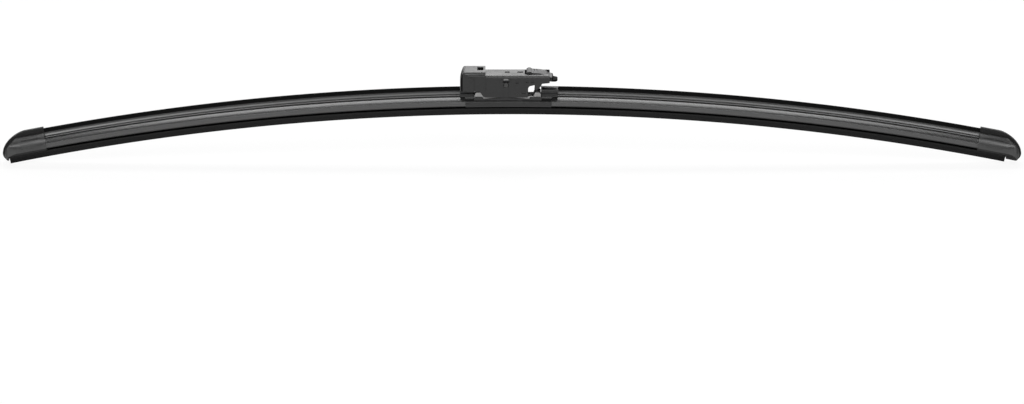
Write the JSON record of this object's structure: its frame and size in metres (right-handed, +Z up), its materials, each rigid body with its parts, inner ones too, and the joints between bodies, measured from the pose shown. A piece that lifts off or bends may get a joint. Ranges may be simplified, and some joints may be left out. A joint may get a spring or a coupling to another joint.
{
  "type": "wiper blade",
  "caption": "Flat bowed wiper blade: two spring rails, rubber, soft-finned spoilers, end caps and a rocking push-button adapter for the arm.",
  "frame": {"origin": "middle of the adapter's flat top, on which the arm's channel sits, over the middle of the blade", "axes": "+X along the blade towards the push button, +Y across the blade, +Z up from the glass towards the arm"},
  "size_m": [0.5996, 0.0174, 0.0577],
  "materials": {
    "adapter_plastic": "fine-grained matt",
    "lever_plastic": "fine-grained matt",
    "cover_plastic": "fine-grained matt",
    "cap_plastic": "fine-grained matt",
    "spoiler_plastic": "satin",
    "fin_rubber": "satin",
    "wiping_rubber": "graphite-coated matt",
    "bracket_steel": "zinc-plated satin",
    "spring_steel": "drawn wire",
    "rail_steel": "thin black paint"
  },
  "bodies": {
    "adapter": {"adapter_housing": "adapter_plastic", "latch_spring": "spring_steel"},
    "latch": {"latch_lever": "lever_plastic"},
    "blade": {"bracket": "bracket_steel", "pivot_pin": "bracket_steel", "base_cover": "cover_plastic", "rail_front": "rail_steel", "rail_rear": "rail_steel", "rubber_element": "wiping_rubber", "spoiler_base_left": "spoiler_plastic", "spoiler_base_right": "spoiler_plastic", "spoiler_fin_left": "fin_rubber", "spoiler_fin_right": "fin_rubber", "end_cap_left": "cap_plastic", "end_cap_right": "cap_plastic"}
  },
  "joints": [
    {"name": "latch_press", "type": "hinge", "parent": "adapter", "child": "latch", "pos_m": [0.0204, 0, -0.003], "axis": [0, -1, 0], "range_deg": [0, 9.5], "stiffness_Nm_per_rad": 0.08, "springref_deg": -5.73, "deforming": ["latch_spring"]},
    {"name": "blade_rock", "type": "hinge", "parent": "adapter", "child": "blade", "pos_m": [-0.0035, 0, -0.006], "axis": [0, 1, 0], "range_deg": [-5, 5]}
  ]
}
